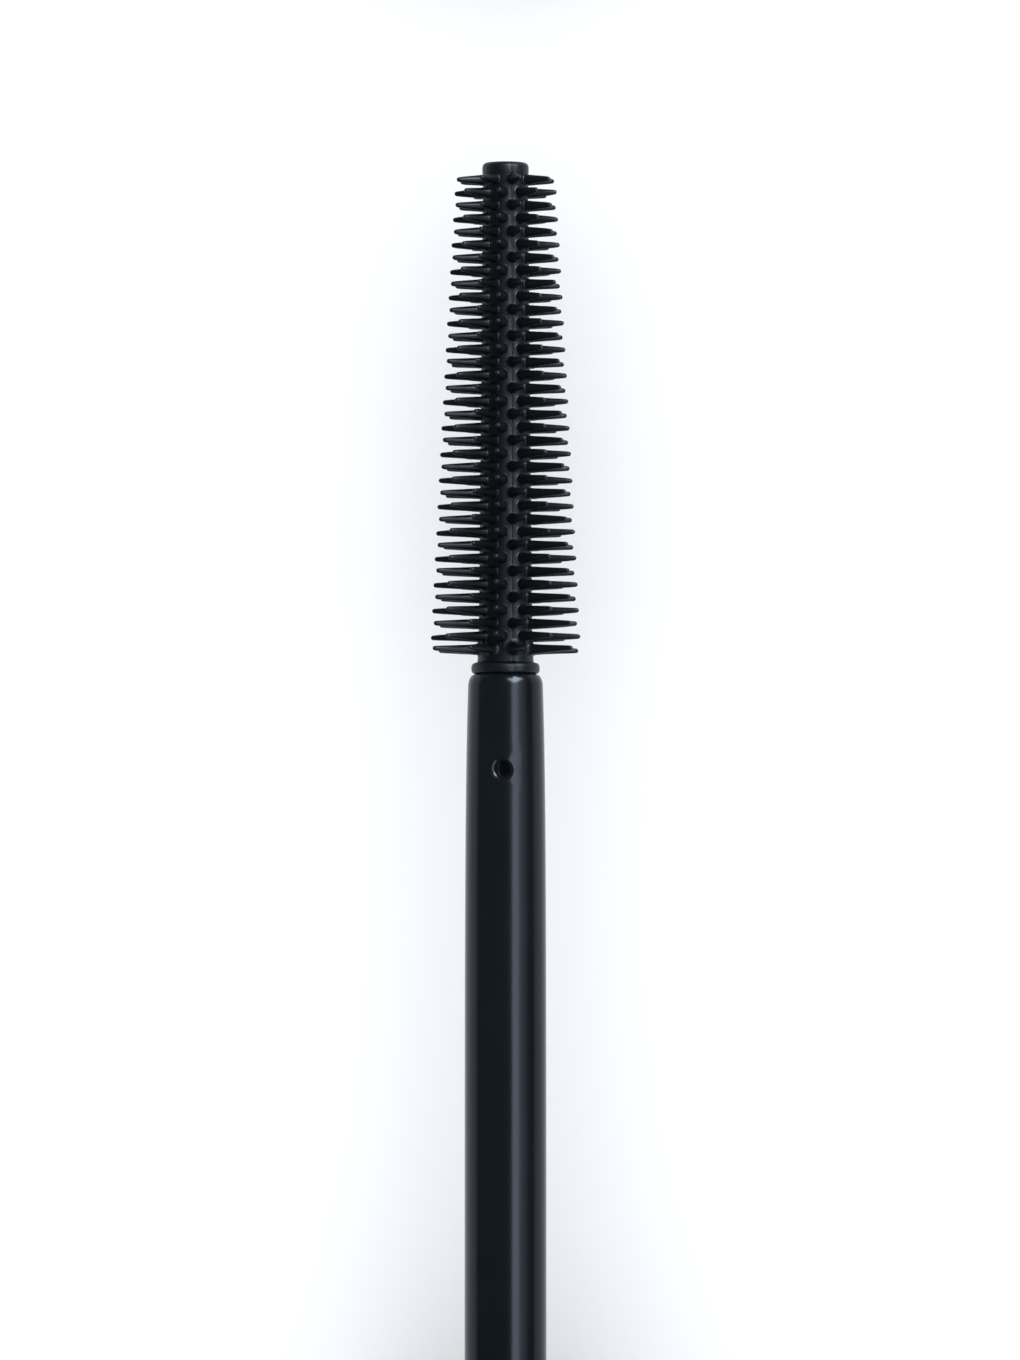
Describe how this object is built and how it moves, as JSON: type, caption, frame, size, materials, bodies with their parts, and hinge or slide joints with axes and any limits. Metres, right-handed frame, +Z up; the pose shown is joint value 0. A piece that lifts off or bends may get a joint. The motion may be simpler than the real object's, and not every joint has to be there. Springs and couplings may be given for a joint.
{
  "type": "mascara",
  "caption": "Mascara lying open: a moulded cone brush on a slim stem and screw cap, drawn out of its round threaded tube with wiper.",
  "frame": {"origin": "on the surface the part lies on, under the middle of its length and width", "axes": "+Y along the common axis of cap, stem, brush and tube, from the cap towards the tube; +Z up; the stem's vent hole faces +Z"},
  "size_m": [0.016, 0.1982, 0.0161],
  "materials": {
    "brush_elastomer": "satin moulded thermoplastic elastomer, black",
    "stem_plastic": "smooth gloss moulded plastic, blue-black",
    "gloss_black": "high-gloss black outer sleeves",
    "moulded_black": "plain moulded black polypropylene",
    "gunmetal": "anodised dark aluminium, turned and lightly brushed round",
    "steel": "plain turned steel",
    "natural_plastic": "natural translucent low-density polyethylene",
    "foam": "expanded polyethylene liner",
    "label_film": "blank matt label film"
  },
  "bodies": {
    "applicator": {"brush": "brush_elastomer", "stem": "stem_plastic", "inner_cap": "moulded_black", "cap_shell": "gloss_black", "cap_end_disc": "gunmetal", "cap_weight": "steel", "cap_trim_ring": "gunmetal"},
    "seal": {"seal_washer": "foam"},
    "tube": {"bottle": "moulded_black", "wiper": "natural_plastic", "neck_collar": "gunmetal", "tube_shell": "gloss_black", "base_plug": "moulded_black", "base_label": "label_film"}
  },
  "joints": [
    {"name": "cap_twist", "type": "hinge", "parent": "applicator", "child": "seal", "pos_m": [0, -0.0751, 0.00805], "axis": [0, 1, 0], "range_deg": [-540, 0]},
    {"name": "draw_out", "type": "slide", "parent": "seal", "child": "tube", "axis": [0, 1, 0], "range_m": [-0.0894, 0], "deforming": ["wiper"]}
  ]
}
